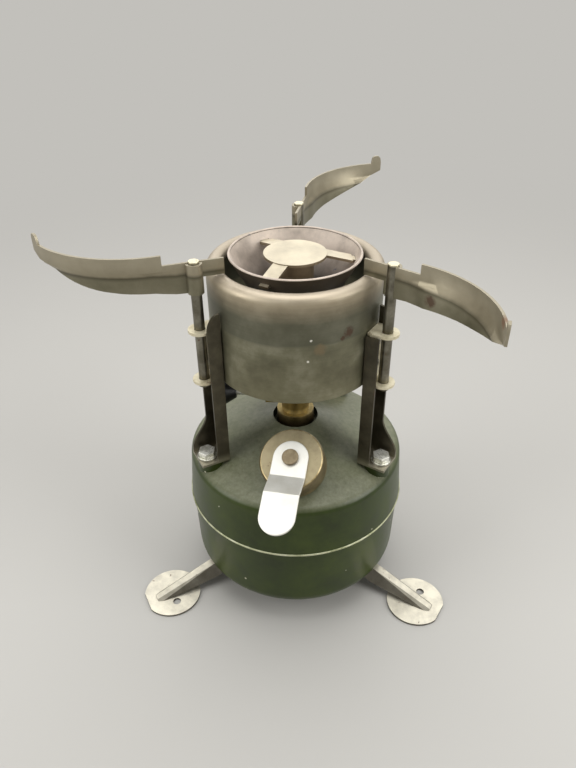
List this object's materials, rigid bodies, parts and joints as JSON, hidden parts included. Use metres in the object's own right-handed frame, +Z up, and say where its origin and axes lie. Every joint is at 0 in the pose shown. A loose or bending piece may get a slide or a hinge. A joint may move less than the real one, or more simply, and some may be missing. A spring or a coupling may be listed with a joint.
{
  "type": "gasoline field stove",
  "caption": "One-burner pressure stove: olive fuel tank on folding legs, shielded burner on channel posts, swinging curved pot arms, pump and control knob.",
  "frame": {"origin": "on the floor, on the tank axis, at the centre of the nail-hole circle of the feet", "axes": "+Z up along the tank axis, -Y towards the pump, +X to the right seen from the pump"},
  "size_m": [0.1942, 0.1911, 0.2024],
  "materials": {
    "olive_paint": "semi-gloss enamel, scuffed",
    "plated_steel": "bright zinc plate",
    "leg_steel": "stamped, worn plate",
    "post_steel": "darkened by heat",
    "bracket_steel": "yellowed plate",
    "shield_steel": "heat tinted",
    "arm_steel": "tarnished, light rust",
    "burner_steel": "sooted",
    "spreader_steel": "heat bleached",
    "brass": "tarnished",
    "dull_brass": "dull brown tarnish",
    "handle_aluminium": "bright rolled strip",
    "knob_plastic": "moulded, worn",
    "black_rubber": "matte",
    "pump_leather": "oiled"
  },
  "bodies": {
    "stove": {"tank_lower_shell": "olive_paint", "tank_upper_shell": "olive_paint", "leg_studs": "plated_steel", "post_left": "post_steel", "post_right": "post_steel", "post_rear": "post_steel", "post_bolts": "plated_steel", "post_washers": "plated_steel", "rod_bracket_left": "bracket_steel", "rod_bracket_right": "bracket_steel", "rod_bracket_rear": "bracket_steel", "shield_rivets": "plated_steel", "heat_shield": "shield_steel", "burner_bowl": "burner_steel", "flame_spreader": "spreader_steel", "burner_tube": "burner_steel", "generator_tube": "brass", "jet": "brass", "valve_body": "brass", "valve_lock_nut": "brass", "packing_nut": "brass", "fuel_pickup": "brass", "fuel_filter": "brass", "pump_boss": "olive_paint", "pump_barrel": "brass", "pump_gasket": "black_rubber", "pump_cap": "dull_brass", "check_valve": "brass", "filler_neck": "olive_paint"},
    "arm_left": {"pot_arm_left": "arm_steel", "arm_rod_left": "arm_steel"},
    "arm_right": {"pot_arm_right": "arm_steel", "arm_rod_right": "arm_steel"},
    "arm_rear": {"pot_arm_rear": "arm_steel", "arm_rod_rear": "arm_steel"},
    "leg_left": {"leg_left": "leg_steel"},
    "leg_right": {"leg_right": "leg_steel"},
    "leg_rear": {"leg_rear": "leg_steel"},
    "control": {"valve_stem": "plated_steel", "control_knob": "knob_plastic", "knob_screw": "plated_steel"},
    "pump_piston": {"pump_leather": "pump_leather"},
    "pump_plunger": {"pump_rod": "dull_brass", "piston_nut": "brass", "pump_handle": "handle_aluminium"},
    "filler_seal": {"filler_gasket": "black_rubber"},
    "filler_lid": {"filler_cap": "dull_brass", "relief_plug": "brass"}
  },
  "joints": [
    {"name": "arm_left_swing", "type": "hinge", "parent": "stove", "child": "arm_left", "pos_m": [-0.04105, -0.0237, 0.17], "axis": [0, 0, 1], "range_deg": [-81, 25]},
    {"name": "arm_right_swing", "type": "hinge", "parent": "stove", "child": "arm_right", "pos_m": [0.04105, -0.0237, 0.17], "axis": [0, 0, 1], "range_deg": [-85, 21]},
    {"name": "arm_rear_swing", "type": "hinge", "parent": "stove", "child": "arm_rear", "pos_m": [0, 0.0474, 0.17], "axis": [0, 0, 1], "range_deg": [-81, 25]},
    {"name": "leg_left_fold", "type": "hinge", "parent": "stove", "child": "leg_left", "pos_m": [-0.03464, -0.02, 0.014], "axis": [0, 0, 1], "range_deg": [0, 120]},
    {"name": "leg_right_fold", "type": "hinge", "parent": "stove", "child": "leg_right", "pos_m": [0.03464, -0.02, 0.014], "axis": [0, 0, 1], "range_deg": [0, 120]},
    {"name": "leg_rear_fold", "type": "hinge", "parent": "stove", "child": "leg_rear", "pos_m": [0, 0.04, 0.014], "axis": [0, 0, 1], "range_deg": [0, 120]},
    {"name": "control_turn", "type": "hinge", "parent": "stove", "child": "control", "pos_m": [0, 0, 0.11302], "axis": [-1, 0, 0], "range_deg": [0, 450]},
    {"name": "pump_stroke", "type": "slide", "parent": "stove", "child": "pump_piston", "axis": [-0.1484, -0.4859, 0.8613], "range_m": [0, 0.038]},
    {"name": "pump_turn", "type": "hinge", "parent": "pump_piston", "child": "pump_plunger", "pos_m": [0.00177, -0.0338, 0.09096], "axis": [-0.1484, -0.4859, 0.8613], "range_deg": [-60, 60]},
    {"name": "filler_lift", "type": "slide", "parent": "stove", "child": "filler_seal", "axis": [0.1542, 0.3162, 0.9361], "range_m": [0, 0.006]},
    {"name": "filler_turn", "type": "hinge", "parent": "filler_seal", "child": "filler_lid", "pos_m": [0.01839, 0.0377, 0.08791], "axis": [0.1542, 0.3162, 0.9361], "range_deg": [0, 720]}
  ],
  "couplings": [
    {"joint": "filler_lift", "follows": "filler_turn", "m_per_rad": 0.00047746}
  ]
}
